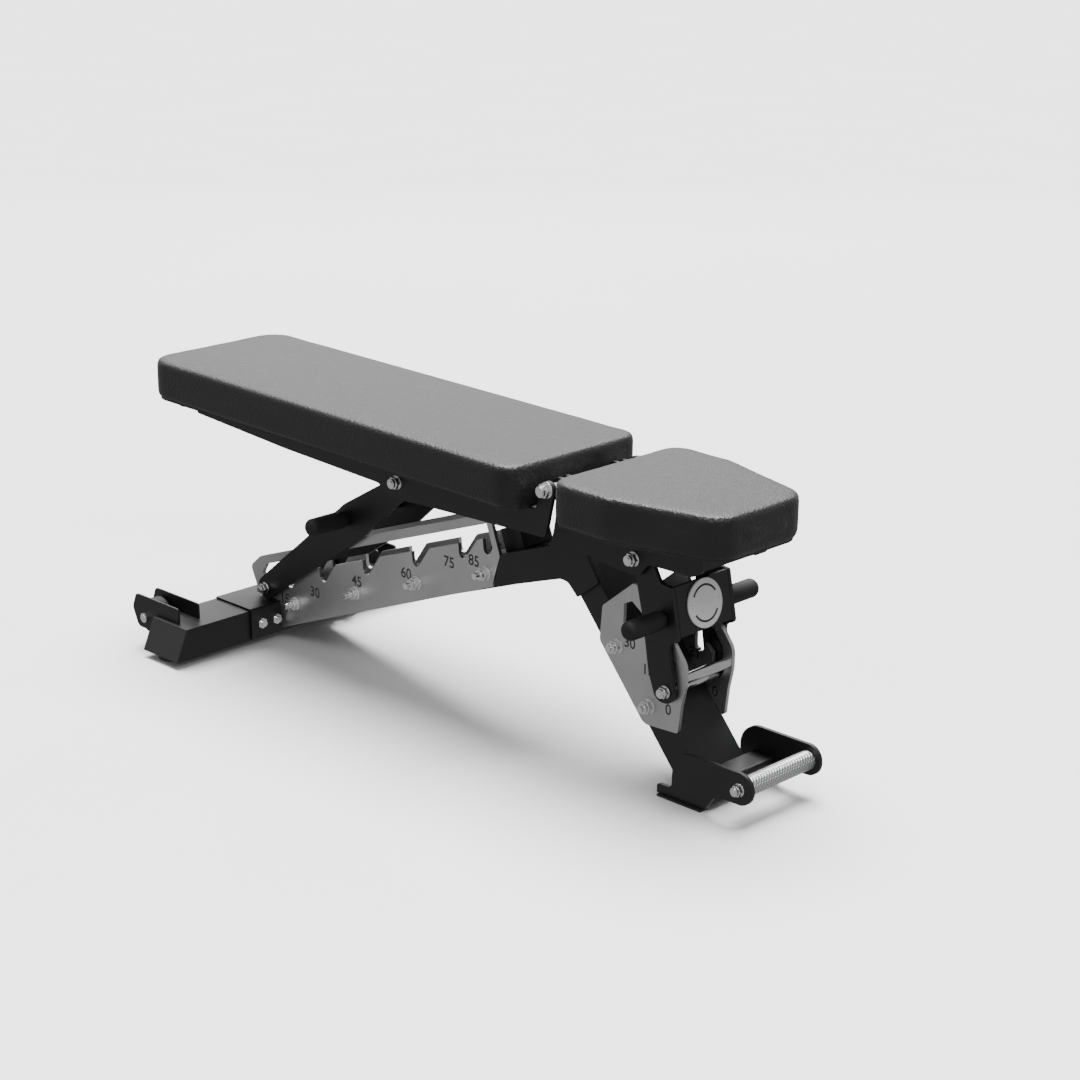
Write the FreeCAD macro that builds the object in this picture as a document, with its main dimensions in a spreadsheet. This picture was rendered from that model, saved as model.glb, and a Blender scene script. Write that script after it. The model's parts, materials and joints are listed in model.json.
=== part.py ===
import FreeCAD, Part
import math
import os
from FreeCAD import Placement, Rotation, Vector

# Adjustable weight bench. Millimetres, +Z up, floor at Z = 0, origin under the middle of the bench.
# +X runs from the backrest to the seat, and the bench is symmetric about the plane Y = 0.

doc = FreeCAD.newDocument("weight_bench")
sheet = doc.addObject("Spreadsheet::Sheet", "Dimensions")
DRIVING = {
    "HingeX": 251.0, "HingeZ": 403.0, "PadThick": 68.0, "PadTilt": 0.98, "BoardThick": 12.0,
    "BackHalf": 138.0, "BackLong": 876.0, "SeatHalf": 135.0, "SeatLong": 321.0,
    "PlateThick": 6.0, "LadderY": 49.0, "ArmY": 57.0, "SeatArmY": 58.0, "RailY": 65.0,
    "SideY": 90.0, "FootPlateY": 72.0, "TubeWide": 92.0, "TubeDeep": 48.0, "TubeWall": 2.5,
    "SpineTilt": 20.0, "LegTilt": 49.84, "RodRadius": 8.0, "NotchRadius": 8.6, "ArmLong": 449.5,
    "FootTall": 50.0, "FootWide": 88.0, "FootLong": 520.0, "FootX": -450.0, "RubberTall": 12.0,
    "WheelRadius": 28.0, "WheelWide": 28.0, "BoltRadius": 5.0, "GripRadius": 14.0,
    "HandleRadius": 14.0, "SaddleHalf": 112.0,
}
for row, (alias, value) in enumerate(DRIVING.items(), start=1):
    sheet.set(f"A{row}", alias)
    sheet.set(f"B{row}", str(value))
    sheet.setAlias(f"B{row}", alias)
doc.recompute()


def size(alias):
    return float(getattr(sheet, alias))


HINGE = (size("HingeX"), size("HingeZ"))
BACK_PIVOT = (-63.0, 347.5)
SEAT_PIVOT = (393.7, 330.0)
TILT = math.radians(size("PadTilt"))
PAD_TOP = HINGE[1] + 33.9
ROD_AT_REST = (-427.6, 84.6)
SEAT_ROD_AT_REST = (450.0, 149.0)
SEAT_ROD_RAISED = (369.0, 226.0)
BOSS_TOP = HINGE[1] + 12.0
BOSS_LOW = HINGE[1] - 2.0
ROD = size("RodRadius")
NOTCH = size("NotchRadius")


def pad_plane(x, depth):
    """Height of a plane parallel to the pad tops and lying depth below them."""
    return PAD_TOP - depth / math.cos(TILT) - (x - HINGE[0]) * math.tan(TILT)


def polar(centre, radius, degrees):
    angle = math.radians(degrees)
    return (centre[0] + radius * math.cos(angle), centre[1] + radius * math.sin(angle))


def turned(point, centre, degrees):
    """The XZ point after a right-hand turn about +Y through centre."""
    angle = math.radians(degrees)
    dx = point[0] - centre[0]
    dz = point[1] - centre[1]
    return (centre[0] + dx * math.cos(angle) + dz * math.sin(angle),
            centre[1] - dx * math.sin(angle) + dz * math.cos(angle))


# ---- sketch and body helpers ----

def rounded_edges(corners):
    """Line and arc edges of a closed outline. A corner is (u, v) or (u, v, radius)."""
    points = [Vector(corner[0], corner[1], 0) for corner in corners]
    radii = [corner[2] if len(corner) > 2 else 0.0 for corner in corners]
    count = len(points)
    entries = []
    for index in range(count):
        here = points[index]
        before = (points[index - 1] - here).normalize()
        after = (points[(index + 1) % count] - here).normalize()
        radius = radii[index]
        if radius <= 0:
            entries.append((here, None, here))
            continue
        half = before.getAngle(after) / 2
        reach = radius / math.tan(half)
        middle = (before + after).normalize()
        peak = here + middle * (radius / math.sin(half) - radius)
        entries.append((here + before * reach, peak, here + after * reach))
    edges = []
    for index in range(count):
        start, peak, end = entries[index]
        following = entries[(index + 1) % count][0]
        if peak is not None:
            edges.append(Part.Arc(start, peak, end))
        if end.distanceToPoint(following) > 1e-6:
            edges.append(Part.LineSegment(end, following))
    return edges


def mixed_edges(stations):
    """Edges through the stations; a station (u, v, mid_u, mid_v) is reached by an arc through its middle."""
    edges = []
    for index, station in enumerate(stations):
        start = stations[index - 1]
        begin = Vector(start[0], start[1], 0)
        finish = Vector(station[0], station[1], 0)
        if len(station) == 4:
            edges.append(Part.Arc(begin, Vector(station[2], station[3], 0), finish))
        else:
            edges.append(Part.LineSegment(begin, finish))
    return edges


def new_body(label):
    body = doc.addObject("PartDesign::Body", label)
    body.Label = label
    return body


def new_sketch(body, plane, edges, circles=()):
    sketch = body.newObject("Sketcher::SketchObject", f"{body.Name}_sketch")
    support = [item for item in body.Origin.OriginFeatures if item.Role == plane][0]
    sketch.AttachmentSupport = (support, [""])
    sketch.MapMode = "FlatFace"
    for edge in edges:
        sketch.addGeometry(edge, False)
    for centre, radius in circles:
        circle = Part.Circle(Vector(centre[0], centre[1], 0), Vector(0, 0, 1), radius)
        sketch.addGeometry(circle, False)
    return sketch


def new_pad(body, sketch, length):
    """A pad centred on its sketch plane. length is an expression on the sheet."""
    pad = body.newObject("PartDesign::Pad", f"{body.Name}_pad")
    pad.Profile = sketch
    pad.Midplane = True
    pad.setExpression("Length", length)
    return pad


def new_pocket(body, sketch, length):
    pocket = body.newObject("PartDesign::Pocket", f"{body.Name}_pocket")
    pocket.Profile = sketch
    pocket.Midplane = True
    pocket.setExpression("Length", length)
    return pocket


def spin_profile(body, edges):
    """Give the body the solid swept by turning the outline about the body's own Y axis."""
    profile = new_sketch(body, "XY_Plane", edges)
    sweep = body.newObject("PartDesign::Revolution", f"{body.Name}_sweep")
    sweep.Profile = profile
    sweep.ReferenceAxis = (profile, ["V_Axis"])
    sweep.Angle = 360.0
    body.Tip = sweep


def place(target, x="0", y="0", z="0"):
    """Bind the sub-part's position to expressions on the sheet."""
    target.setExpression("Placement.Base.x", x)
    target.setExpression("Placement.Base.y", y)
    target.setExpression("Placement.Base.z", z)


def plate(label, edges, y, circles=(), thickness="Dimensions.PlateThick"):
    """A flat plate standing in the XZ plane, centred at y."""
    body = new_body(label)
    sketch = new_sketch(body, "XZ_Plane", edges, circles)
    body.Tip = new_pad(body, sketch, thickness)
    place(body, y=y)
    return body


def plate_pair(stem, edges, y_alias, circles=()):
    for side, sign in (("near", "-"), ("far", "")):
        plate(f"{stem}_{side}", edges, f"{sign}Dimensions.{y_alias}", circles)


def hollow(label, outer, inner, width, inner_width, holes=(), plane="XZ_Plane"):
    """A rectangular tube seen from the side: a block with its bore cut along the middle."""
    body = new_body(label)
    new_pad(body, new_sketch(body, plane, rounded_edges(outer), holes), width)
    doc.recompute()
    body.Tip = new_pocket(body, new_sketch(body, plane, rounded_edges(inner)), inner_width)
    place(body)
    return body


def cylinder_y(name, centre, low, high, radius):
    """A cylinder along Y from low to high. radius is an expression."""
    piece = doc.addObject("Part::Cylinder", name)
    piece.setExpression("Radius", radius)
    piece.Height = high - low
    piece.Placement = Placement(Vector(centre[0], high, centre[1]), Rotation(Vector(1, 0, 0), 90))
    return piece


def hexagon_y(name, centre, low, high, across):
    piece = doc.addObject("Part::Prism", name)
    piece.Polygon = 6
    piece.Circumradius = across / math.sqrt(3)
    piece.Height = high - low
    piece.Placement = Placement(Vector(centre[0], high, centre[1]), Rotation(Vector(1, 0, 0), 90))
    return piece


def fused(label, pieces):
    group = doc.addObject("Part::MultiFuse", label)
    group.Label = label
    group.Shapes = pieces
    return group


def grouped(label, pieces):
    """Identical separate solids kept in one sub-part."""
    group = doc.addObject("Part::Compound", label)
    group.Label = label
    group.Links = pieces
    return group


WASHER_THICK = 1.6


def fastener_end(name, centre, seat, tip, side, across):
    """Washer, hexagon nut, locking collar on one side of a through bolt, outward from the seat plane."""
    nut_top = 0.42 * across + WASHER_THICK
    collar_top = 0.7 * across + WASHER_THICK
    layers = (("washer", 0.0, WASHER_THICK, None, across * 0.62),
              ("nut", WASHER_THICK, nut_top, across, None),
              ("collar", nut_top, collar_top, None, across * 0.44))
    pieces = []
    for part_name, start, end, flats, radius in layers:
        low = seat + start if side > 0 else -seat - end
        high = low + end - start
        label = f"{name}_{part_name}_{side + 1}"
        if flats:
            pieces.append(hexagon_y(label, centre, low, high, flats))
        else:
            pieces.append(cylinder_y(label, centre, low, high, str(radius)))
    assert collar_top < tip - seat, name
    return pieces


def bolt_across(name, centre, seat, tip, radius="Dimensions.BoltRadius", across=15.0):
    """A stud from side to side with a washer and lock nut outside the plates that end at seat."""
    pieces = [cylinder_y(f"{name}_shank", centre, -tip, tip, radius)]
    for side in (-1, 1):
        pieces += fastener_end(name, centre, seat, tip, side, across)
    return fused(name, pieces)


# ---- the two notched ladders ----

class Slope:
    """Coordinates along and square to a row of notches, from its first notch.

    hand is +1 when out is to the left of along in the XZ plane, and -1 when it is to the right.
    """

    def __init__(self, origin, degrees, hand):
        self.origin = origin
        self.degrees = degrees
        self.hand = hand

    def around(self, centre, radius, degrees):
        return polar(centre, radius, self.degrees + self.hand * degrees)

    def at(self, along, out):
        return self.around(self.around(self.origin, along, 0.0), out, 90.0)


def notch_distance(slope, pivot, length):
    """How far along the slope a rod on an arm of this length from pivot meets the notch line."""
    angle = math.radians(slope.degrees)
    offset = (pivot[0] - slope.origin[0], pivot[1] - slope.origin[1])
    foot = offset[0] * math.cos(angle) + offset[1] * math.sin(angle)
    rise = offset[1] * math.cos(angle) - offset[0] * math.sin(angle)
    return foot - math.sqrt(length * length - rise * rise)


def slot_edges(slope, notches, ramp, tooth, hook, far_side):
    """The closed slot of a ladder: notches and teeth along its near side, then the far side."""
    stations = []
    tangent = math.degrees(math.atan2(tooth, ramp) - math.acos(NOTCH / math.hypot(tooth, ramp)))
    for index, along in enumerate(notches):
        if index > 0:
            stations.append(slope.at(along - hook, tooth))
            stations.append(slope.at(along - NOTCH, 0.0))
        centre = slope.at(along, 0.0)
        leave = slope.around(centre, NOTCH, tangent)
        middle = slope.around(centre, NOTCH, (tangent - 180.0) / 2)
        stations.append(leave + middle)
        if index < len(notches) - 1:
            stations.append(slope.at(along + ramp, tooth))
    stations += far_side
    stations.append(slope.at(-NOTCH, 0.0))
    return mixed_edges(stations)


BOLT = size("BoltRadius")
BACK_LINE = Slope(ROD_AT_REST, 19.7, 1)
BACK_STOPS = [0.0]
for fold in (15.0, 30.0, 45.0, 60.0, 75.0, 85.0):
    raised_pivot = turned(BACK_PIVOT, HINGE, fold)
    BACK_STOPS.append(notch_distance(BACK_LINE, raised_pivot, size("ArmLong")))
KEEPER = 37.0
KEEPER_DEEP = 14.5
BACK_END = BACK_STOPS[-1] + 11.5
SADDLE_FRONT = -402.0
SADDLE_TOP = 65.0
back_slot = slot_edges(
    BACK_LINE, BACK_STOPS, 38.0, 15.5, 5.0,
    [BACK_LINE.at(BACK_END, 0.0), BACK_LINE.at(BACK_END, KEEPER),
     BACK_LINE.at(6.0, KEEPER), BACK_LINE.at(-NOTCH, KEEPER - 12.0)])
back_outline = rounded_edges([
    (SADDLE_FRONT + 0.2, 20.0), (SADDLE_FRONT + 0.2, SADDLE_TOP + 1.0), (-448.0, SADDLE_TOP + 1.0, 8.0),
    BACK_LINE.at(-33.0, 0.0) + (14.0,), BACK_LINE.at(-37.0, 40.0) + (10.0,),
    BACK_LINE.at(-6.0, KEEPER + KEEPER_DEEP) + (20.0,),
    BACK_LINE.at(BACK_END + 11.0, KEEPER + KEEPER_DEEP) + (11.0,),
    BACK_LINE.at(BACK_END + 11.0, -14.0) + (6.0,), BACK_LINE.at(BACK_END - 22.5, -56.6)])
BACK_BOLTS = ((-363.0, 71.0), (-213.0, 126.0), (-69.0, 178.0), (83.0, 230.5))
back_holes = [(centre, BOLT) for centre in BACK_BOLTS]
plate_pair("back_ladder", back_outline + back_slot, "LadderY", back_holes)
grouped("back_ladder_bolts", [bolt_across(f"back_ladder_bolt_{index}", centre, 52.0, 76.0, across=18.0)
                              for index, centre in enumerate(BACK_BOLTS, start=1)])

SEAT_LINE = Slope(SEAT_ROD_AT_REST, 136.45, -1)
SEAT_STOPS = [0.0, 45.5, math.dist(SEAT_ROD_AT_REST, SEAT_ROD_RAISED)]
seat_slot = slot_edges(
    SEAT_LINE, SEAT_STOPS, 24.0, 13.0, 4.0,
    [SEAT_LINE.at(136.0, 14.0), SEAT_LINE.at(130.0, 30.0), SEAT_LINE.at(112.0, 33.0),
     SEAT_LINE.at(50.0, 40.0), SEAT_LINE.at(22.0, 36.0), SEAT_LINE.at(-7.0, 11.0)])
seat_outline = rounded_edges([
    (320.0, 240.0, 8.0), (378.0, 286.5, 4.0), (388.0, 286.0, 4.0), (397.0, 262.0, 12.0),
    (440.0, 240.0, 40.0), (478.0, 190.0, 30.0), (477.0, 160.0, 8.0), (470.0, 128.0, 12.0),
    (465.0, 88.0, 5.0), (406.0, 85.0, 5.0), (398.0, 88.5, 5.0), (315.0, 187.5, 10.0)])
SEAT_BOLTS = ((349.0, 187.0), (411.0, 114.0))
seat_holes = [(centre, BOLT) for centre in SEAT_BOLTS]
plate_pair("seat_ladder", seat_outline + seat_slot, "LadderY", seat_holes)
grouped("seat_ladder_bolts", [bolt_across(f"seat_ladder_bolt_{index}", centre, 52.0, 72.0, across=18.0)
                              for index, centre in enumerate(SEAT_BOLTS, start=1)])
crossbar = cylinder_y("seat_ladder_crossbar", (468.5, 168.0), -45.9, 45.9, "Dimensions.RodRadius")
crossbar.Label = "seat_ladder_crossbar"


# ---- fixed frame ----

def along_spine(x, below):
    """A point on the spine tube, below its top line."""
    slope = math.radians(size("SpineTilt"))
    return (x, 267.5 + (x - 115.0) * math.tan(slope) - below / math.cos(slope))


def along_leg(z, forward):
    """A point on the leg tube, forward of its rear line."""
    slope = math.radians(size("LegTilt"))
    return (272.5 + (240.0 - z) / math.tan(slope) + forward / math.sin(slope), z)


def spine_meets_leg(below, forward):
    """Where a line along the spine crosses a line along the leg."""
    x = 250.0
    for _ in range(40):
        z = along_spine(x, below)[1]
        x = (x + along_leg(z, forward)[0]) / 2
    return (x, along_spine(x, below)[1])


DEEP = size("TubeDeep")
WALL = size("TubeWall")
LEG_DEEP = 46.0
hollow(
    "spine_tube",
    [along_spine(SADDLE_FRONT, DEEP), along_spine(SADDLE_FRONT, 0.0),
     spine_meets_leg(0.0, 0.0), spine_meets_leg(DEEP, 0.0)],
    [along_spine(SADDLE_FRONT - 20.0, DEEP - WALL), along_spine(SADDLE_FRONT - 20.0, WALL),
     along_spine(300.0, WALL), along_spine(300.0, DEEP - WALL)],
    "Dimensions.TubeWide", "Dimensions.TubeWide - 2 * Dimensions.TubeWall", back_holes)
leg_front = along_leg(39.0, LEG_DEEP)
FOOT_TUBE_REAR = leg_front[0]
hollow(
    "leg_tube",
    [spine_meets_leg(0.0, 0.0), spine_meets_leg(0.0, LEG_DEEP), leg_front,
     (FOOT_TUBE_REAR, 20.0), along_leg(20.0, 0.0)],
    [along_leg(360.0, WALL), along_leg(360.0, LEG_DEEP - WALL),
     along_leg(0.0, LEG_DEEP - WALL), along_leg(0.0, WALL)],
    "Dimensions.TubeWide", "Dimensions.TubeWide - 2 * Dimensions.TubeWall", seat_holes)

gusset = rounded_edges([
    (115.0, 267.0, 3.0), (217.0, 304.0, 6.0), (224.0, 330.0, 20.0), (236.0, BOSS_LOW),
    (238.0, BOSS_TOP, 12.0), (264.0, BOSS_TOP, 12.0), (266.0, BOSS_LOW),
    (272.0, 330.0, 20.0), (312.0, 271.0, 4.0), (271.0, 239.5, 4.0),
    (252.0, 258.0, 16.0), (237.0, 259.0, 16.0), (99.5, 213.0, 4.0)])
HINGE_BOLT = 7.0
HINGE_HOLE = (HINGE, HINGE_BOLT + 0.08)
plate_pair("side_plate", gusset, "LadderY", [(HINGE, HINGE_BOLT)])
bolt_across("hinge_bolt", HINGE, 93.1, 109.0, str(HINGE_BOLT), 19.0)



def box_across(label, length, width, height, corner, degrees):
    """A block centred on Y = 0, its lowest rear edge at the XZ corner, turned about +Y."""
    block = doc.addObject("Part::Box", label)
    block.Label = label
    block.Length = length
    block.Width = width
    block.Height = height
    spot = Vector(corner[0], -width / 2, corner[1])
    block.Placement = Placement(spot, Rotation(Vector(0, 1, 0), degrees))
    return block


box_across("backrest_stop_post", 40.0, 60.0, 34.0, along_spine(104.0, -0.1), -size("SpineTilt"))

# ---- rear foot ----

TUBE_LOW = size("RubberTall")
TUBE_TOP = TUBE_LOW + size("FootTall")
FOOT_X = size("FootX")
CAP = 3.0
HALF = size("FootLong") / 2 - CAP
MITRE = 22.0
foot = hollow(
    "rear_foot_tube",
    [(-HALF, TUBE_LOW), (HALF, TUBE_LOW), (HALF - MITRE, TUBE_TOP), (MITRE - HALF, TUBE_TOP)],
    [(-HALF - 20.0, TUBE_LOW + WALL), (HALF + 20.0, TUBE_LOW + WALL),
     (HALF + 20.0, TUBE_TOP - WALL), (-HALF - 20.0, TUBE_TOP - WALL)],
    "Dimensions.FootWide", "Dimensions.FootWide - 2 * Dimensions.TubeWall", plane="YZ_Plane")
place(foot, x="Dimensions.FootX")
caps = []
for side in (-1, 1):
    cap = new_body(f"end_cap_{side + 1}")
    edges = rounded_edges([
        (side * HALF, TUBE_LOW), (side * (HALF - MITRE), TUBE_TOP),
        (side * (HALF - MITRE + CAP), TUBE_TOP), (side * (HALF + CAP), TUBE_LOW)])
    cap.Tip = new_pad(cap, new_sketch(cap, "YZ_Plane", edges), "Dimensions.FootWide")
    place(cap, x="Dimensions.FootX")
    caps.append(cap)
grouped("rear_end_caps", caps)
feet = []
for side in (-1, 1):
    disc = doc.addObject("Part::Cylinder", f"rear_foot_{side + 1}")
    disc.Radius = 27.0
    disc.setExpression("Height", "Dimensions.RubberTall")
    disc.Placement.Base = Vector(-460.0, side * 223.0, 0.0)
    feet.append(disc)
grouped("rear_rubber_feet", feet)

SADDLE_REAR = FOOT_X - size("FootWide") / 2
SADDLE_LOW = TUBE_LOW + 2.0
SADDLE_FACE = FOOT_X + size("FootWide") / 2 + 0.01
SADDLE_UNDER = TUBE_TOP + 0.01
plate(
    "foot_saddle",
    rounded_edges([(SADDLE_REAR, SADDLE_UNDER), (SADDLE_REAR, SADDLE_TOP), (SADDLE_FRONT, SADDLE_TOP, 4.0),
                   (SADDLE_FRONT, SADDLE_LOW), (SADDLE_FACE, SADDLE_LOW), (SADDLE_FACE, SADDLE_UNDER)]),
    "0", (), "2 * Dimensions.SaddleHalf")
nuts = []
for index, y in enumerate((-95.0, -65.0, 65.0, 95.0), start=1):
    nut = doc.addObject("Part::Prism", f"saddle_nut_{index}")
    nut.Polygon = 6
    nut.Circumradius = 9.0
    nut.Height = 8.0
    nut.Placement = Placement(Vector(SADDLE_FRONT, y, 40.0), Rotation(Vector(0, 1, 0), 90))
    stud = doc.addObject("Part::Cylinder", f"saddle_stud_{index}")
    stud.setExpression("Radius", "Dimensions.BoltRadius")
    stud.Height = 13.0
    stud.Placement = nut.Placement
    nuts.append(fused(f"saddle_bolt_{index}", [nut, stud]))
grouped("saddle_bolts", nuts)

# ---- transport wheels ----

AXLE = (-526.0, 51.0)
WHEEL_Y = 210.0
EAR_LOW = TUBE_TOP + 0.1
ear = [(-436.0, EAR_LOW), (-436.0, 87.0, 5.0), (-549.0, 87.0, 8.0), (-559.0, 62.0, 14.0),
       (-545.0, 32.0, 12.0), (-512.0, 32.0, 12.0), (-496.0, 50.0), (-496.0, EAR_LOW)]
TREAD = size("WheelRadius")
RIM = size("WheelWide") / 2
WEB = RIM - 3.0
BORE = BOLT + 0.08
wheel_edges = rounded_edges([
    (BORE, -RIM), (10.0, -RIM), (12.0, -WEB), (20.0, -WEB), (21.0, -RIM), (TREAD, -RIM, 4.0),
    (TREAD, RIM, 4.0), (21.0, RIM), (20.0, WEB), (12.0, WEB), (10.0, RIM), (BORE, RIM)])
for side, sign in (("near", -1), ("far", 1)):
    pieces = []
    for offset in (-19.5, 19.5):
        pieces.append(plate(f"wheel_ear_{side}_{int(offset > 0)}", rounded_edges(ear),
                            str(sign * WHEEL_Y + offset), [(AXLE, BOLT)], "3"))
    grouped(f"wheel_bracket_{side}", pieces)
    middle = sign * WHEEL_Y
    axle = cylinder_y(f"wheel_axle_{side}_shank", AXLE, middle - 26.0, middle + 26.0,
                      "Dimensions.BoltRadius")
    ends = [cylinder_y(f"wheel_axle_{side}_{index}", AXLE, low, low + 4.0, "Dimensions.BoltRadius + 3")
            for index, low in enumerate((middle - 25.0, middle + 21.0))]
    fused(f"wheel_axle_{side}", [axle] + ends)
    wheel = new_body(f"wheel_{side}")
    spin_profile(wheel, wheel_edges)
    place(wheel, x=str(AXLE[0]), y=str(sign * WHEEL_Y), z=str(AXLE[1]))

# ---- front foot ----

HANDLE = (598.0, 53.0)
front_plate = rounded_edges([
    (449.0, 3.1, 2.0), (536.0, 3.1, 6.0), (552.0, 26.0, 12.0), (566.0, 30.5, 8.0), (HANDLE[0], 30.5),
    (620.0, 30.5, 22.0), (620.0, 76.5, 22.0), (HANDLE[0] - 1.0, 76.5), (478.0, 76.5, 34.0),
    (476.0, 17.0, 8.0), (449.0, 17.0, 4.0)])
plate_pair("front_foot_plate", front_plate, "FootPlateY", [(HANDLE, BOLT)])
FRONT_TUBE = 540.0
FRONT_LOW = 6.0
FRONT_TOP = 39.0
hollow(
    "front_foot_tube",
    [(FOOT_TUBE_REAR, FRONT_LOW), (FOOT_TUBE_REAR, FRONT_TOP),
     (FRONT_TUBE, FRONT_TOP, 4.0), (FRONT_TUBE, FRONT_LOW, 4.0)],
    [(FOOT_TUBE_REAR + WALL, FRONT_LOW + WALL), (FOOT_TUBE_REAR + WALL, FRONT_TOP - WALL),
     (FRONT_TUBE - WALL, FRONT_TOP - WALL), (FRONT_TUBE - WALL, FRONT_LOW + WALL)],
    "2 * Dimensions.FootPlateY - Dimensions.PlateThick - 0.02", "140")
strips = []
for side in (-1, 1):
    strip = doc.addObject("Part::Box", f"front_strip_{side + 1}")
    strip.Length = 80.0
    strip.Width = 16.0
    strip.Height = 3.0
    strip.Placement.Base = Vector(453.0, side * size("FootPlateY") - 8.0, 0.0)
    strips.append(strip)
grouped("front_rubber_feet", strips)
handle = cylinder_y("front_handle", HANDLE, -68.98, 68.98, "Dimensions.HandleRadius")
handle.Label = "front_handle"
SHANK_START = 69.0
SHANK_END = 88.0
handle_bolts = []
for side in (-1, 1):
    shank_low = SHANK_START if side > 0 else -SHANK_END
    shank_high = shank_low + SHANK_END - SHANK_START
    shank = cylinder_y(f"handle_shank_{side + 1}", HANDLE, shank_low, shank_high, "Dimensions.BoltRadius")
    outside = fastener_end("handle", HANDLE, 75.0, SHANK_END, side, 15.0)
    handle_bolts.append(fused(f"handle_bolt_{side + 1}", [shank] + outside))
grouped("front_handle_bolts", handle_bolts)

# ---- pads ----

LEAN = Rotation(Vector(0, 1, 0), size("PadTilt"))
MARGIN = 8.0


def cushion(stem, outline, hinge_x, chamfer_run, chamfer_drop, inward):
    """A pad with its edges rounded and its hinge end bevelled, and the board let into its underside."""
    pad_body = new_body(f"{stem}_pad")
    base = pad_body.newObject("PartDesign::Pad", f"{stem}_foam")
    base.Profile = new_sketch(pad_body, "XY_Plane", rounded_edges(outline))
    base.Reversed = True
    base.setExpression("Length", "Dimensions.PadThick")
    doc.recompute()
    middle_x = sum(corner[0] for corner in outline) / len(outline)
    recess_outline = [(x + math.copysign(MARGIN, middle_x - x), y - math.copysign(MARGIN, y), radius - MARGIN)
                      for x, y, radius in outline]
    into_pad = size("BoardThick") - size("PadThick")
    recess = new_body(f"{stem}_board")
    board = recess.newObject("PartDesign::Pad", f"{stem}_sheet")
    board.Profile = new_sketch(recess, "XY_Plane", rounded_edges(recess_outline))
    board.Reversed = True
    board.setExpression("Length", "Dimensions.BoardThick")
    recess.Tip = board
    cut = pad_body.newObject("PartDesign::Pocket", f"{stem}_recess")
    cut_sketch = new_sketch(pad_body, "XY_Plane", rounded_edges(recess_outline))
    cut_sketch.AttachmentOffset = Placement(Vector(0, 0, into_pad), Rotation())
    cut.Profile = cut_sketch
    cut.setExpression("Length", "Dimensions.BoardThick")
    doc.recompute()
    bevel = pad_body.newObject("PartDesign::Pocket", f"{stem}_bevel")
    side = [(hinge_x, 0.1), (hinge_x, -chamfer_drop), (hinge_x + inward * chamfer_run, 0.1)]
    bevel.Profile = new_sketch(pad_body, "XZ_Plane", rounded_edges(side))
    bevel.Midplane = True
    bevel.Length = 400.0
    doc.recompute()
    pad_body.Tip = bevel
    above_hinge = Vector(HINGE[0], 0, PAD_TOP)
    pad_body.Placement = Placement(above_hinge, LEAN)
    recess.Placement = Placement(above_hinge + LEAN.multVec(Vector(0, 0, into_pad)), LEAN)


BACK = size("BackHalf")
LONG = size("BackLong")
cushion("back", [(-LONG, -BACK, 45.0), (-27.0, -BACK, 30.0), (-27.0, BACK, 30.0), (-LONG, BACK, 45.0)],
        -27.0, 27.0, 18.0, -1)
SEAT = size("SeatHalf")
SEAT_LONG = size("SeatLong")
cushion("seat", [(35.0, -SEAT, 30.0), (143.0, -SEAT, 60.0), (SEAT_LONG, -88.0, 45.0),
                 (SEAT_LONG, 88.0, 45.0), (143.0, SEAT, 60.0), (35.0, SEAT, 30.0)],
        35.0, 19.0, 13.0, 1)

# ---- backrest frame ----

UNDER = size("PadThick") + 0.2
side_plate = rounded_edges([
    (-556.0, pad_plane(-556.0, UNDER)), (-546.0, 362.0, 4.0), (-325.0, 347.0, 60.0), (-104.0, 337.5, 12.0),
    (-90.0, 322.0, 14.0), (-36.0, 322.0, 14.0), (-20.0, 323.5, 12.0), (247.0, 332.0, 8.0),
    (264.0, BOSS_LOW), (264.0, BOSS_TOP, 12.5), (238.0, BOSS_TOP, 12.5), (238.0, HINGE[1] - 4.0),
    (228.0, pad_plane(228.0, UNDER), 3.0)])
PIVOT_HOLE = BOLT + 0.05
plate_pair("backrest_side_plate", side_plate, "SideY", [HINGE_HOLE, (BACK_PIVOT, PIVOT_HOLE)])
MEMBER_TALL = 20.0
members = [box_across(f"backrest_member_{index}", 40.0, 173.9, MEMBER_TALL,
                      (x, pad_plane(x, UNDER + MEMBER_TALL)), size("PadTilt"))
           for index, x in enumerate((-500.0, 60.0), start=1)]
grouped("backrest_cross_members", members)
BUMPER_X = -577.0
BUMPER_TALL = 14.0
bumpers = []
for side in (-1, 1):
    bumper = doc.addObject("Part::Cylinder", f"backrest_bumper_{side + 1}")
    bumper.Radius = 12.0
    bumper.Height = BUMPER_TALL
    spot = Vector(BUMPER_X, side * size("SideY"), pad_plane(BUMPER_X, UNDER + BUMPER_TALL))
    bumper.Placement = Placement(spot, LEAN)
    bumpers.append(bumper)
grouped("backrest_bumpers", bumpers)
bolt_across("back_arm_pivot_bolt", BACK_PIVOT, 93.0, 108.0, across=17.0)

# ---- back support arm ----

TOWARDS_ROD = math.degrees(math.atan2(ROD_AT_REST[1] - BACK_PIVOT[1], ROD_AT_REST[0] - BACK_PIVOT[0]))


def beside_arm(along, across):
    """A point along the back arm from its pivot, with across on the upper side."""
    return polar(polar(BACK_PIVOT, along, TOWARDS_ROD), across, TOWARDS_ROD - 90.0)


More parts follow.
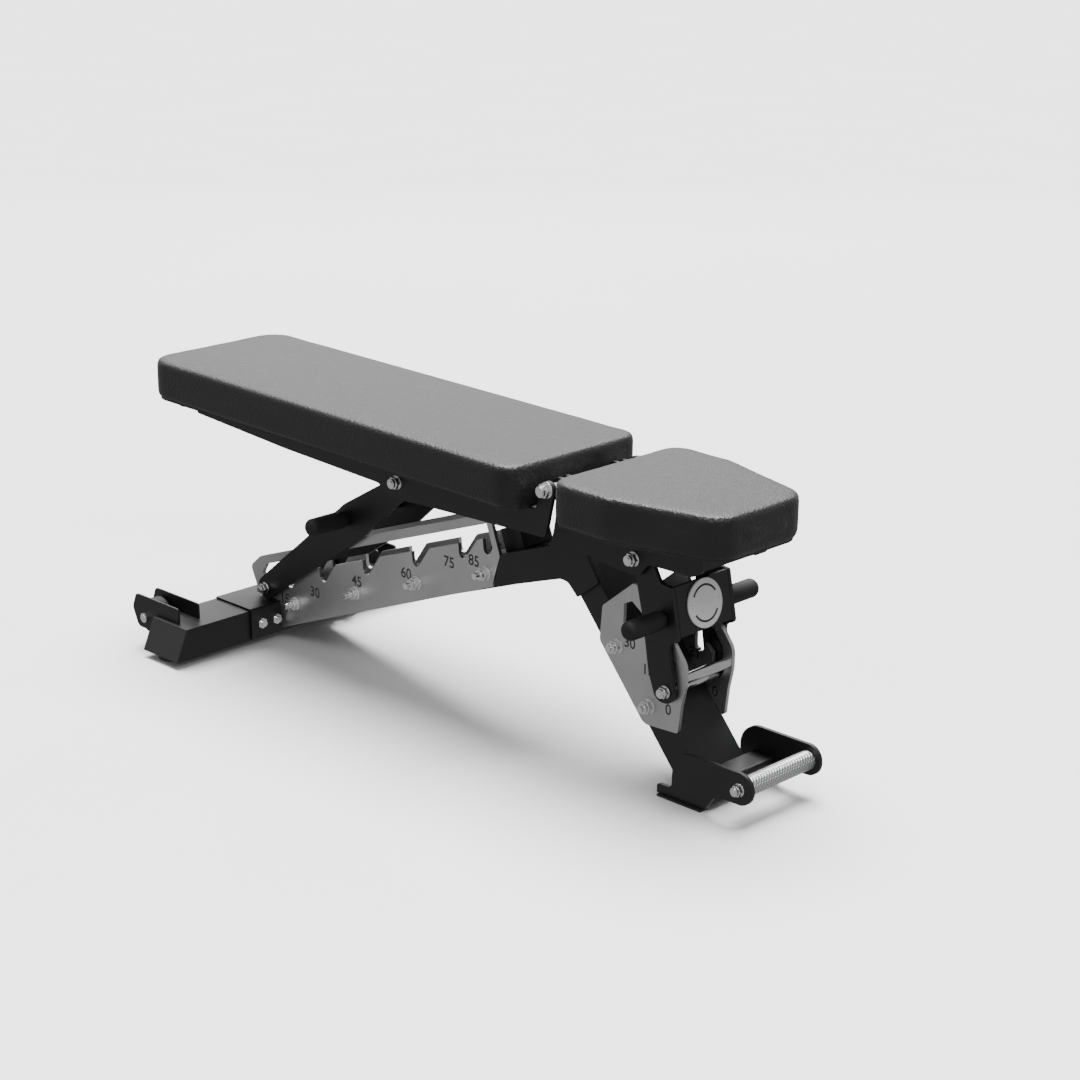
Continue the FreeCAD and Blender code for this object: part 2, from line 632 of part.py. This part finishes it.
ARM = size("ArmLong")
GRIP = (-225.0, 247.0)
arm_outline = rounded_edges([
    beside_arm(-19.0, 19.0) + (18.5,), beside_arm(60.0, 21.0) + (60.0,), beside_arm(175.0, 33.0) + (60.0,),
    beside_arm(ARM + 17.5, 17.5) + (17.0,), beside_arm(ARM + 17.5, -17.5) + (17.0,),
    beside_arm(175.0, -29.0) + (60.0,), beside_arm(60.0, -19.0) + (60.0,),
    beside_arm(-19.0, -19.0) + (18.5,)])
GRIP_BAR = 6.0
plate_pair("back_arm", arm_outline, "ArmY", [(BACK_PIVOT, PIVOT_HOLE), (ROD_AT_REST, ROD), (GRIP, GRIP_BAR)])


def grips(label, centre, inner):
    """Rubber hand grips with a collar and a rounded end, one on each side."""
    radius = size("GripRadius")
    collar = radius - 3.0
    collar_end = inner + 7.0
    tip = 133.0
    edges = rounded_edges([(0.0, inner), (collar, inner, 1.0), (collar, collar_end),
                           (radius, collar_end, 1.0), (radius, tip, 9.0), (0.0, tip)])
    pieces = []
    for side in (-1, 1):
        grip = new_body(f"{label}_{side + 1}")
        spin_profile(grip, edges)
        facing = Rotation() if side > 0 else Rotation(Vector(1, 0, 0), 180)
        grip.Placement = Placement(Vector(centre[0], 0, centre[1]), facing)
        pieces.append(grip)
    return grouped(label, pieces)


ROD_MIDDLE = 45.4
ROD_END = 52.6


def catch_rod(label, centre, tip, outer):
    """The catch rod: its middle runs between the ladder plates and its ends pass through the arms."""
    rods = [cylinder_y(f"{label}_middle", centre, -ROD_MIDDLE, ROD_MIDDLE, "Dimensions.RodRadius")]
    studs = []
    for side in (-1, 1):
        low = ROD_END if side > 0 else -outer
        high = low + outer - ROD_END
        rods.append(cylinder_y(f"{label}_end_{side + 1}", centre, low, high, "Dimensions.RodRadius"))
        low = outer if side > 0 else -tip
        high = low + tip - outer
        stud = cylinder_y(f"{label}_stud_{side + 1}", centre, low, high, "Dimensions.BoltRadius - 1")
        outside = fastener_end(label, centre, outer, tip, side, 15.0)
        studs.append(fused(f"{label}_bolt_{side + 1}", [stud] + outside))
    grouped(label, rods)
    grouped(f"{label}_bolts", studs)


grips("back_arm_grips", GRIP, 60.1)
bar = cylinder_y("back_arm_grip_bar", GRIP, -60.0, 60.0, str(GRIP_BAR))
bar.Label = "back_arm_grip_bar"
catch_rod("back_rod", ROD_AT_REST, 76.0, 61.0)

# ---- seat frame ----

rail = rounded_edges([
    (237.0, BOSS_TOP, 13.0), (265.0, BOSS_TOP, 13.0), (265.0, HINGE[1] - 8.0),
    (280.0, pad_plane(280.0, UNDER), 3.0), (518.0, pad_plane(518.0, UNDER)), (517.0, 338.0, 8.0),
    (500.0, 329.0, 6.0), (420.0, 327.5, 12.0), (404.0, 307.0, 12.0), (372.0, 307.0, 12.0),
    (291.0, 315.5, 8.0), (262.0, 322.0, 14.0), (237.0, HINGE[1] - 4.0)])
plate_pair("seat_rail", rail, "RailY", [HINGE_HOLE, (SEAT_PIVOT, PIVOT_HOLE)])
box_across("seat_cross_member", 4.0, 123.9, 26.0, (508.0, pad_plane(508.0, UNDER + 27.0)), size("PadTilt"))
bolt_across("seat_arm_pivot_bolt", SEAT_PIVOT, 68.0, 83.0, across=17.0)

# ---- seat support arm ----

SEAT_GRIP = (440.5, 252.0)
seat_arm_side = rounded_edges([
    (376.0, 347.0, 16.0), (412.0, 347.0, 16.0), (437.0, 303.0, 10.0), (457.0, 301.0), (470.0, 231.0),
    (470.0, 225.0, 6.0), (452.0, 220.0, 12.0), (462.0, 170.0, 30.0), (467.5, 131.0, 17.0),
    (431.0, 131.0, 17.0), (417.0, 170.0, 30.0), (405.5, 243.0, 30.0), (390.0, 308.0, 20.0)])
sides = [plate(f"seat_arm_side_{index}", seat_arm_side, f"{sign}Dimensions.SeatArmY",
               [(SEAT_PIVOT, PIVOT_HOLE), (SEAT_ROD_AT_REST, ROD), (SEAT_GRIP, GRIP_BAR)])
         for index, sign in enumerate(("-", ""))]
front_strip = rounded_edges([(457.0, 301.0), (470.0, 231.0), (466.0, 231.0), (453.0, 301.0)])
front = plate("seat_arm_front", front_strip, "0", (), "2 * Dimensions.SeatArmY + Dimensions.PlateThick - 14")
fused("seat_arm_bracket", sides + [front])
BADGE = (463.5, 267.0)
BADGE_THICK = 2.5
OUT_OF_BADGE = Rotation(Vector(0, 1, 0), 79.5)
badge = doc.addObject("Part::Cylinder", "seat_badge")
badge.Label = "seat_badge"
badge.Radius = 35.0
badge.Height = BADGE_THICK
badge.Placement = Placement(Vector(BADGE[0], 0, BADGE[1]), OUT_OF_BADGE)
screws = []
for side in (-1, 1):
    screw = doc.addObject("Part::Cylinder", f"badge_screw_{side + 1}")
    screw.Radius = 2.0
    screw.Height = 1.0
    screw_seat = Vector(BADGE[0], side * 29.0, BADGE[1]) + OUT_OF_BADGE.multVec(Vector(0, 0, BADGE_THICK))
    screw.Placement = Placement(screw_seat, OUT_OF_BADGE)
    screws.append(screw)
grouped("badge_screws", screws)
grips("seat_arm_grips", SEAT_GRIP, 61.1)
catch_rod("seat_rod", SEAT_ROD_AT_REST, 77.0, 62.0)

# ---- checks and export ----

doc.recompute()
broken = [item.Name for item in doc.Objects if "Invalid" in item.State or "Error" in item.State]
assert not broken, broken
used = set()
for item in doc.Objects:
    if item.TypeId in ("Part::Compound", "Part::MultiFuse"):
        used.update(child.Name for child in item.OutList)
SOLID_TYPES = ("PartDesign::Body", "Part::MultiFuse", "Part::Compound", "Part::Box", "Part::Cylinder")
nodes = [item for item in doc.Objects if item.TypeId in SOLID_TYPES and item.Name not in used]
os.makedirs("parts", exist_ok=True)
for item in nodes:
    assert not item.Shape.isNull() and item.Shape.isValid(), item.Label
    assert item.Shape.Volume > 0, item.Label
for item in nodes:
    item.Shape.exportStep(f"parts/{item.Label}.step")
print(len(nodes), "nodes", sorted(item.Label for item in nodes))
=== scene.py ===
import bpy
import bmesh
import json
import math
from mathutils import Euler, Matrix, Vector


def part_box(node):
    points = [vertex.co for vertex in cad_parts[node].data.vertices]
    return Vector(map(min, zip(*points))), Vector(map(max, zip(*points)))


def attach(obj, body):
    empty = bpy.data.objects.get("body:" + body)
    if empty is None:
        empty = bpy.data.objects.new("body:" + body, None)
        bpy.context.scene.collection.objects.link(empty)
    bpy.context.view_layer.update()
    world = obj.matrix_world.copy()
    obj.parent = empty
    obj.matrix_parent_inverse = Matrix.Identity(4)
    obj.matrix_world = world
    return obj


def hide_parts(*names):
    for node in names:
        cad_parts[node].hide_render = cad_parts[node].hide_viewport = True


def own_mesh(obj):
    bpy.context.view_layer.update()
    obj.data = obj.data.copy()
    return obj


# Adjustable weight bench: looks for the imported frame. Metres, +X towards the seat, -Y the near side.

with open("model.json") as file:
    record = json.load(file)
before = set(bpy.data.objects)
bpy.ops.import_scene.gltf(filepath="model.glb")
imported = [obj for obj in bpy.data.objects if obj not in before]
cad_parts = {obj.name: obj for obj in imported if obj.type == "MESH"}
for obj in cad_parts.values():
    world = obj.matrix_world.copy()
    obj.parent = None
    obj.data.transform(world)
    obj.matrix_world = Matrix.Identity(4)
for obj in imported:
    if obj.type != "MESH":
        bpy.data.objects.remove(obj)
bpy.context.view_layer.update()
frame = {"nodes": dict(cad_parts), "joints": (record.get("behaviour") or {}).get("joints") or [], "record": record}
nodes = frame["nodes"]
joints = {joint["name"]: joint for joint in frame["joints"]}
MM = 0.001


# ---- camera, light and floor ----

AROUND = math.radians(45.05)
DOWN = math.radians(18.05)
camera_data = bpy.data.cameras.new("camera")
camera_data.lens = 80.0
camera_data.sensor_width = 36.0
camera = bpy.data.objects.new("camera", camera_data)
camera.location = (2.5027, -2.3545, 1.3698)
camera.rotation_euler = Euler((math.pi / 2 - DOWN, 0.0, AROUND))
bpy.context.collection.objects.link(camera)
bpy.context.scene.camera = camera


def area_light(name, place, target, width, power):
    data = bpy.data.lights.new(name, "AREA")
    data.shape = "RECTANGLE"
    data.size = width
    data.size_y = width * 0.6
    data.energy = power
    lamp = bpy.data.objects.new(name, data)
    lamp.location = place
    lamp.rotation_euler = (Vector(target) - Vector(place)).to_track_quat("-Z", "Y").to_euler()
    bpy.context.collection.objects.link(lamp)


area_light("key", (2.4, -1.2, 2.6), (0.0, 0.0, 0.3), 1.2, 22.0)
area_light("back", (-2.9, 2.9, 1.7), (0.0, 0.0, 0.4), 3.2, 40.0)


sun_data = bpy.data.lights.new("overhead", "SUN")
sun_data.energy = 11.0
sun_data.angle = math.radians(45.0)
sun = bpy.data.objects.new("overhead", sun_data)
sun.rotation_euler = Vector((0.25, -0.25, -1.0)).to_track_quat("-Z", "Y").to_euler()
bpy.context.collection.objects.link(sun)

world = bpy.data.worlds.new("studio")
world.use_nodes = True
backdrop = world.node_tree.nodes["Background"]
backdrop.inputs["Color"].default_value = (1.0, 1.0, 1.0, 1.0)
backdrop.inputs["Strength"].default_value = 0.4
bpy.context.scene.world = world


# ---- node materials ----

class Paint:
    """A material under construction, with short calls for the nodes used here."""

    def __init__(self, name):
        self.material = bpy.data.materials.new(name)
        self.material.use_nodes = True
        self.tree = self.material.node_tree
        self.shader = self.tree.nodes["Principled BSDF"]
        self.place = self.tree.nodes.new("ShaderNodeTexCoord").outputs["Object"]

    def add(self, kind, **values):
        node = self.tree.nodes.new(kind)
        for key, value in values.items():
            setattr(node, key, value)
        return node

    def link(self, out, into):
        self.tree.links.new(out, into)

    def stretched(self, scale):
        mapping = self.add("ShaderNodeMapping")
        mapping.inputs["Scale"].default_value = scale
        self.link(self.place, mapping.inputs["Vector"])
        return mapping.outputs["Vector"]

    def noise(self, scale, detail=4.0, where=None):
        node = self.add("ShaderNodeTexNoise")
        node.inputs["Scale"].default_value = scale
        node.inputs["Detail"].default_value = detail
        self.link(where or self.place, node.inputs["Vector"])
        return node.outputs["Fac"]

    def ramp(self, source, low, high, start=0.3, end=0.7):
        node = self.add("ShaderNodeValToRGB")
        node.color_ramp.elements[0].position = start
        node.color_ramp.elements[1].position = end
        node.color_ramp.elements[0].color = (*low, 1.0)
        node.color_ramp.elements[1].color = (*high, 1.0)
        self.link(source, node.inputs["Fac"])
        return node.outputs["Color"]

    def colour(self, source, low, high, start=0.3, end=0.7):
        self.link(self.ramp(source, low, high, start, end), self.shader.inputs["Base Color"])

    def rough(self, source, low, high):
        node = self.add("ShaderNodeMapRange")
        node.inputs["To Min"].default_value = low
        node.inputs["To Max"].default_value = high
        self.link(source, node.inputs["Value"])
        self.link(node.outputs["Result"], self.shader.inputs["Roughness"])

    def bump(self, source, strength, distance, soften=0.0):
        node = self.add("ShaderNodeBump")
        node.inputs["Strength"].default_value = strength
        node.inputs["Distance"].default_value = distance
        self.link(source, node.inputs["Height"])
        if soften > 0:
            bevel = self.add("ShaderNodeBevel", samples=4)
            bevel.inputs["Radius"].default_value = soften
            self.link(bevel.outputs["Normal"], node.inputs["Normal"])
        self.link(node.outputs["Normal"], self.shader.inputs["Normal"])


def powder_coat():
    paint = Paint("powder_coat")
    grain = paint.noise(900.0, 3.0)
    patches = paint.noise(14.0, 4.0)
    paint.colour(patches, (0.005, 0.005, 0.0055), (0.010, 0.010, 0.0105))
    paint.rough(patches, 0.36, 0.5)
    paint.bump(grain, 0.18, 0.0003, 0.0012)
    return paint.material


def brushed_metal(name, low, high, rough_low, rough_high, along):
    paint = Paint(name)
    streaks = paint.noise(40.0, 6.0, paint.stretched(along))
    clouds = paint.noise(9.0, 3.0)
    paint.colour(clouds, low, high)
    paint.shader.inputs["Metallic"].default_value = 1.0
    paint.rough(streaks, rough_low, rough_high)
    paint.bump(streaks, 0.12, 0.0002, 0.0008)
    return paint.material


def knurled_metal():
    paint = Paint("knurled_metal")
    waves = []
    for tilt in (0.7, -0.7):
        mapping = paint.add("ShaderNodeMapping")
        mapping.inputs["Rotation"].default_value = (tilt, 0.0, 0.0)
        paint.link(paint.place, mapping.inputs["Vector"])
        wave = paint.add("ShaderNodeTexWave", bands_direction="Y")
        wave.inputs["Scale"].default_value = 75.0
        paint.link(mapping.outputs["Vector"], wave.inputs["Vector"])
        waves.append(wave.outputs["Fac"])
    cross = paint.add("ShaderNodeMath", operation="MAXIMUM")
    paint.link(waves[0], cross.inputs[0])
    paint.link(waves[1], cross.inputs[1])
    paint.colour(cross.outputs[0], (0.35, 0.35, 0.36), (0.75, 0.75, 0.76))
    paint.shader.inputs["Metallic"].default_value = 1.0
    paint.shader.inputs["Roughness"].default_value = 0.32
    paint.bump(cross.outputs[0], 1.0, 0.0012)
    return paint.material


def rubber():
    paint = Paint("rubber_black")
    speckle = paint.noise(600.0, 2.0)
    patches = paint.noise(25.0, 4.0)
    paint.colour(patches, (0.007, 0.007, 0.0075), (0.014, 0.014, 0.0145))
    paint.rough(patches, 0.6, 0.78)
    paint.bump(speckle, 0.3, 0.0003)
    return paint.material


def moulded_plastic():
    paint = Paint("moulded_plastic")
    grain = paint.noise(500.0, 3.0)
    paint.colour(grain, (0.016, 0.016, 0.017), (0.026, 0.026, 0.027))
    paint.rough(grain, 0.42, 0.58)
    paint.bump(grain, 0.25, 0.0003, 0.0008)
    return paint.material


def panel_board():
    paint = Paint("panel_board")
    grain = paint.noise(30.0, 6.0, paint.stretched((1.0, 12.0, 12.0)))
    paint.colour(grain, (0.012, 0.011, 0.010), (0.035, 0.032, 0.028))
    paint.rough(grain, 0.55, 0.75)
    paint.bump(grain, 0.3, 0.0004)
    return paint.material


def pebbled_vinyl():
    paint = Paint("pebbled_vinyl")
    cells = paint.add("ShaderNodeTexVoronoi", feature="SMOOTH_F1")
    cells.inputs["Scale"].default_value = 330.0
    cells.inputs["Randomness"].default_value = 0.9
    paint.link(paint.place, cells.inputs["Vector"])
    rub = paint.noise(22.0, 6.0, paint.stretched((0.3, 1.6, 1.0)))
    paint.colour(rub, (0.006, 0.006, 0.0065), (0.014, 0.014, 0.0145))
    paint.rough(rub, 0.42, 0.6)
    paint.shader.inputs["Sheen Weight"].default_value = 0.05
    paint.shader.inputs["Sheen Roughness"].default_value = 0.5
    paint.bump(cells.outputs["Distance"], 0.8, 0.0012)
    return paint.material


# Dark colour of the badge arcs, and painted shade for the ladder numbers, which stand for holes cut through the
# plates; the mottle is random tone.
def ink_and_hole_shade():
    paint = Paint("ink_and_hole_shade")
    mottle = paint.noise(300.0, 3.0)
    paint.colour(mottle, (0.015, 0.015, 0.016), (0.05, 0.05, 0.055))
    paint.rough(mottle, 0.5, 0.7)
    return paint.material


def pale_floor():
    paint = Paint("pale_floor")
    soft = paint.noise(3.0, 2.0)
    paint.colour(soft, (0.86, 0.86, 0.86), (0.88, 0.88, 0.88))
    paint.shader.inputs["Roughness"].default_value = 0.8
    paint.shader.inputs["Specular IOR Level"].default_value = 0.2
    return paint.material


COAT = powder_coat()
ZINC = brushed_metal("zinc_steel", (0.52, 0.52, 0.53), (0.62, 0.62, 0.63), 0.34, 0.5, (1.0, 14.0, 14.0))
BRIGHT = brushed_metal("bright_bolts", (0.82, 0.82, 0.83), (0.95, 0.95, 0.95), 0.14, 0.26, (6.0, 1.0, 6.0))
CHROME = brushed_metal("chrome_bar", (0.62, 0.62, 0.63), (0.8, 0.8, 0.8), 0.1, 0.2, (6.0, 1.0, 6.0))
BADGE = brushed_metal("badge_metal", (0.86, 0.86, 0.87), (0.94, 0.94, 0.95), 0.3, 0.45, (10.0, 1.0, 10.0))
BADGE.node_tree.nodes["Principled BSDF"].inputs["Metallic"].default_value = 0.25
KNURL = knurled_metal()
RUBBER = rubber()
PLASTIC = moulded_plastic()
BOARD = panel_board()
VINYL = pebbled_vinyl()
INK_AND_HOLE_SHADE = ink_and_hole_shade()

SLOT_LOOKS = {
    "painted_steel": COAT, "zinc_steel": ZINC, "bright_bolts": BRIGHT, "chrome_bar": CHROME,
    "badge_metal": BADGE, "handle_metal": KNURL, "pad_cover": VINYL, "board_panel": BOARD,
    "rubber_black": RUBBER, "plastic_black": PLASTIC, "wheel_rubber": RUBBER,
}


def dress(thing, material):
    if not thing.material_slots:
        thing.data.materials.append(material)
    for place in thing.material_slots:
        place.material = material


for entry in frame["record"]["subparts"]:
    dress(nodes[entry["node"]], SLOT_LOOKS[entry["material_slot"]])

floor_mesh = bpy.data.meshes.new("floor")
# The floor and backdrop are plain and pale. They are left out of reflections and bounced light,
# so the bench's black parts don't mirror them.
FLOOR_HALF = 60.0
floor_mesh.from_pydata([(-FLOOR_HALF, -FLOOR_HALF, 0), (FLOOR_HALF, -FLOOR_HALF, 0),
                        (FLOOR_HALF, FLOOR_HALF, 0), (-FLOOR_HALF, FLOOR_HALF, 0)], [], [(0, 1, 2, 3)])
floor = bpy.data.objects.new("floor", floor_mesh)
bpy.context.collection.objects.link(floor)
floor.data.materials.append(pale_floor())
floor.visible_glossy = False
floor.visible_diffuse = False

WALL_TALL = 40.0
wall_mesh = bpy.data.meshes.new("backdrop")
wall_low = [(-FLOOR_HALF, -FLOOR_HALF), (FLOOR_HALF, -FLOOR_HALF),
            (FLOOR_HALF, FLOOR_HALF), (-FLOOR_HALF, FLOOR_HALF)]
wall_mesh.from_pydata([(x, y, 0) for x, y in wall_low] + [(x, y, WALL_TALL) for x, y in wall_low], [],
                      [(side, (side + 1) % 4, (side + 1) % 4 + 4, side + 4) for side in range(4)])
wall = bpy.data.objects.new("backdrop", wall_mesh)
bpy.context.collection.objects.link(wall)
wall_paint = pale_floor()
wall_shader = wall_paint.node_tree.nodes["Principled BSDF"]
wall_shader.inputs["Emission Color"].default_value = (1.0, 1.0, 1.0, 1.0)
wall_shader.inputs["Emission Strength"].default_value = 2.6
wall.data.materials.append(wall_paint)
for lit_by in ("visible_glossy", "visible_diffuse", "visible_shadow"):
    setattr(wall, lit_by, False)


def new_piece(name, mesh, body, material):
    piece = bpy.data.objects.new(name, mesh)
    bpy.context.collection.objects.link(piece)
    dress(piece, material)
    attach(piece, body)
    return piece


def ringed_mesh(name, rings, place=None):
    """A closed mesh through rings of points, each ring with the same number, capped at both ends."""
    solid = bmesh.new()
    loops = [[solid.verts.new(point) for point in ring] for ring in rings]
    for lower, upper in zip(loops, loops[1:]):
        for index in range(len(lower)):
            after = (index + 1) % len(lower)
            solid.faces.new((lower[index], lower[after], upper[after], upper[index]))
    solid.faces.new(list(reversed(loops[0])))
    solid.faces.new(loops[-1])
    bmesh.ops.recalc_face_normals(solid, faces=solid.faces)
    if place:
        solid.transform(place)
    data = bpy.data.meshes.new(name)
    solid.to_mesh(data)
    solid.free()
    return data


# ---- the two cushions ----

PAD_TILT = math.radians(0.98)
HINGE = Vector(joints["backrest_hinge"]["pos_m"])
PAD_TOP = Vector((HINGE.x, 0.0, HINGE.z + 33.9 * MM))
PAD_THICK = 68 * MM
PAD_MIDDLE = {"back_cushion": -450 * MM, "seat_cushion": 180 * MM}
PAD_FRAME = Matrix.Translation(PAD_TOP) @ Matrix.Rotation(PAD_TILT, 4, "Y")


def rounded_outline(corners, steps=8):
    """Points of a closed outline with an arc of the given radius at each corner."""
    points = []
    for index, (x, y, radius) in enumerate(corners):
        here = Vector((x, y))
        before = (Vector(corners[index - 1][:2]) - here).normalized()
        after = (Vector(corners[(index + 1) % len(corners)][:2]) - here).normalized()
        half = before.angle(after) / 2
        reach = radius / math.tan(half)
        centre = here + (before + after).normalized() * (radius / math.sin(half))
        first = here + before * reach - centre
        last = here + after * reach - centre
        sweep = first.angle_signed(last)
        for step in range(steps + 1):
            turn = -sweep * step / steps
            points.append(centre + Vector((first.x * math.cos(turn) - first.y * math.sin(turn),
                                           first.x * math.sin(turn) + first.y * math.cos(turn))))
    return points


def soft_block(name, corners, rim):
    """A closed block of the pad's outline, with its top rim rounded and its lower rim tucked in."""
    low = 2 * MM - PAD_THICK
    top = -3 * MM
    rings = [(low, 5 * MM), (low + 5 * MM, 1 * MM), (low + 12 * MM, 0.0)]
    for step in range(7):
        angle = math.radians(90 * step / 6)
        rings.append((top - rim + rim * math.sin(angle), rim * (1 - math.cos(angle))))
    middle = PAD_MIDDLE[name]
    loops = []
    for height, inset in rings:
        corners_in = [(x - math.copysign(inset, x - middle), y - math.copysign(inset, y),
                       max(radius - inset, 4 * MM)) for x, y, radius in corners]
        loops.append([(point.x, point.y, height) for point in rounded_outline(corners_in)])
    return ringed_mesh(name, loops)


def remeshed(piece, voxel):
    modifier = piece.modifiers.new("remesh", "REMESH")
    modifier.mode = "VOXEL"
    modifier.voxel_size = voxel
    bake(piece)


def bake(piece):
    """Apply the piece's modifiers to its mesh."""
    graph = bpy.context.evaluated_depsgraph_get()
    made = bpy.data.meshes.new_from_object(piece.evaluated_get(graph))
    piece.modifiers.clear()
    piece.data = made


def inflated(piece, cap, pressure=4.0):
    """Swell the cover over its foam with cloth, moving no point by more than cap."""
    before = [vertex.co.copy() for vertex in piece.data.vertices]
    cloth = piece.modifiers.new("cloth", "CLOTH")
    cloth.settings.use_pressure = True
    cloth.settings.uniform_pressure_force = pressure
    cloth.settings.quality = 5
    cloth.settings.effector_weights.gravity = 0.0
    scene = bpy.context.scene
    for step in range(1, 21):
        scene.frame_set(step)
    bake(piece)
    scene.frame_set(1)
    for vertex, start in zip(piece.data.vertices, before):
        move = vertex.co - start
        if move.length > cap:
            vertex.co = start + move * (cap / move.length)


def cushion(name, corners, body, replaced, rim):
    """A foam pad with its vinyl cover, flat on its board."""
    piece = bpy.data.objects.new(name, soft_block(name, corners, rim))
    bpy.context.collection.objects.link(piece)
    remeshed(piece, 5 * MM)
    inflated(piece, 1.2 * MM)
    for vertex in piece.data.vertices:
        vertex.co.z = max(vertex.co.z, 0.4 * MM - PAD_THICK)
    subdivide = piece.modifiers.new("subdivide", "SUBSURF")
    subdivide.levels = 1
    subdivide.render_levels = 1
    bake(piece)
    piece.data.transform(PAD_FRAME)
    for polygon in piece.data.polygons:
        polygon.use_smooth = True
    dress(piece, VINYL)
    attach(piece, body)
    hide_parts(replaced)
    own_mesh(piece)


BACK_HALF = 136.5 * MM
SEAT_HALF = 133.5 * MM
cushion("back_cushion",
        [(-874.5 * MM, -BACK_HALF, 45 * MM), (-30 * MM, -BACK_HALF, 32 * MM),
         (-30 * MM, BACK_HALF, 32 * MM), (-874.5 * MM, BACK_HALF, 45 * MM)],
        "backrest", "back_pad", 8 * MM)
cushion("seat_cushion",
        [(37 * MM, -SEAT_HALF, 32 * MM), (143 * MM, -SEAT_HALF, 60 * MM), (319.5 * MM, -87 * MM, 45 * MM),
         (319.5 * MM, 87 * MM, 45 * MM), (143 * MM, SEAT_HALF, 60 * MM), (37 * MM, SEAT_HALF, 32 * MM)],
        "seat", "seat_pad", 8 * MM)


# ---- catch rods ----

ROD_SIDES = 48


def rod_bar(name, node, body):
    """One turned bar in place of the opened CAD rod, with bevelled ends."""
    low, high = (Vector(corner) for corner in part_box(node))
    radius = (high.x - low.x) / 2
    half = (high.y - low.y) / 2
    bevel = 1 * MM
    profile = [(-half, radius - bevel), (bevel - half, radius), (half - bevel, radius), (half, radius - bevel)]
    rings = []
    for y, reach in profile:
        turns = [2 * math.pi * side / ROD_SIDES for side in range(ROD_SIDES)]
        rings.append([(reach * math.cos(turn), y, reach * math.sin(turn)) for turn in turns])
    data = ringed_mesh(name, rings, Matrix.Translation((low + high) / 2))
    for polygon in data.polygons:
        polygon.use_smooth = len(polygon.vertices) == 4
    piece = new_piece(name, data, body, CHROME)
    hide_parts(node)


rod_bar("back_rod_bar", "back_rod", "back_arm")
rod_bar("seat_rod_bar", "seat_rod", "seat_arm")


# ---- angle numbers on the ladders ----

PLATE_MIDDLE = 49 * MM
INLAY_HALF = 3.06 * MM


def number(name, text, x, z, side, size):
    """A dark inlay through a ladder plate, just proud of it, readable outside and mirrored inside; it stands for
    the number cut out of the plate, its dark colour painted shade for the hole.
    """
    curve = bpy.data.curves.new(name, "FONT")
    curve.body = text
    curve.size = size
    curve.align_x = "CENTER"
    curve.align_y = "CENTER"
    curve.extrude = INLAY_HALF
    curve.offset = 0.25 * MM
    mark = bpy.data.objects.new(name, curve)
    upright = Matrix.Rotation(math.pi / 2, 4, "X")
    if side == "far":
        upright = Matrix.Rotation(math.pi, 4, "Z") @ upright
    across = PLATE_MIDDLE if side == "far" else -PLATE_MIDDLE
    mark.matrix_world = Matrix.Translation((x, across, z)) @ upright
    bpy.context.collection.objects.link(mark)
    # The number's dark colour is painted shade, in place of the hole cut through the plate.
    mark.data.materials.append(INK_AND_HOLE_SHADE)
    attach(mark, "frame")


# Each number's middle in millimetres, X and Z.
BACK_MARKS = {"15": (-390, 73), "30": (-313, 102), "45": (-209, 146),
              "60": (-93, 187), "75": (4, 228), "85": (58, 243)}
SEAT_MARKS = {"30": (373, 197), "15": (408, 166), "0": (447, 118)}
for side in ("near", "far"):
    for text, (x, z) in BACK_MARKS.items():
        number(f"back_mark_{side}_{text}", text, x * MM, z * MM, side, 24 * MM)
    for text, (x, z) in SEAT_MARKS.items():
        number(f"seat_mark_{side}_{text}", text, x * MM, z * MM, side, 22 * MM)


# ---- the round badge with its two dark arcs ----

BADGE_SIDES = 64
ARC_STEPS = 24
ARC_SWEEP = 120.0


def polar_points(reach, height, turns):
    return [(reach * MM * math.cos(turn), reach * MM * math.sin(turn), height * MM) for turn in turns]


def badge_piece():
    """A disc with a bevelled face, and two closed arc inlays just proud of it."""
    low, high = (Vector(corner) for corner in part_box("seat_badge"))
    place = Matrix.Translation((low + high) / 2) @ Matrix.Rotation(math.radians(79.5), 4, "Y")
    turns = [2 * math.pi * side / BADGE_SIDES for side in range(BADGE_SIDES)]
    rings = [polar_points(reach, height, turns) for reach, height in ((35.0, -1.25), (35.0, 0.75), (34.2, 1.25))]
    disc = new_piece("badge_disc", ringed_mesh("badge_disc", rings, place), "seat_arm", BADGE)
    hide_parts("seat_badge")
    for index, start in enumerate((-60.0, 120.0)):
        sections = []
        for step in range(ARC_STEPS + 1):
            turn = math.radians(start + ARC_SWEEP * step / ARC_STEPS)
            sections.append([polar_points(reach, height, [turn])[0]
                             for reach, height in ((24.0, 0.9), (27.0, 0.9), (27.0, 1.4), (24.0, 1.4))])
        name = f"badge_arc_{index}"
        new_piece(name, ringed_mesh(name, sections, place), "seat_arm", INK_AND_HOLE_SHADE)


badge_piece()
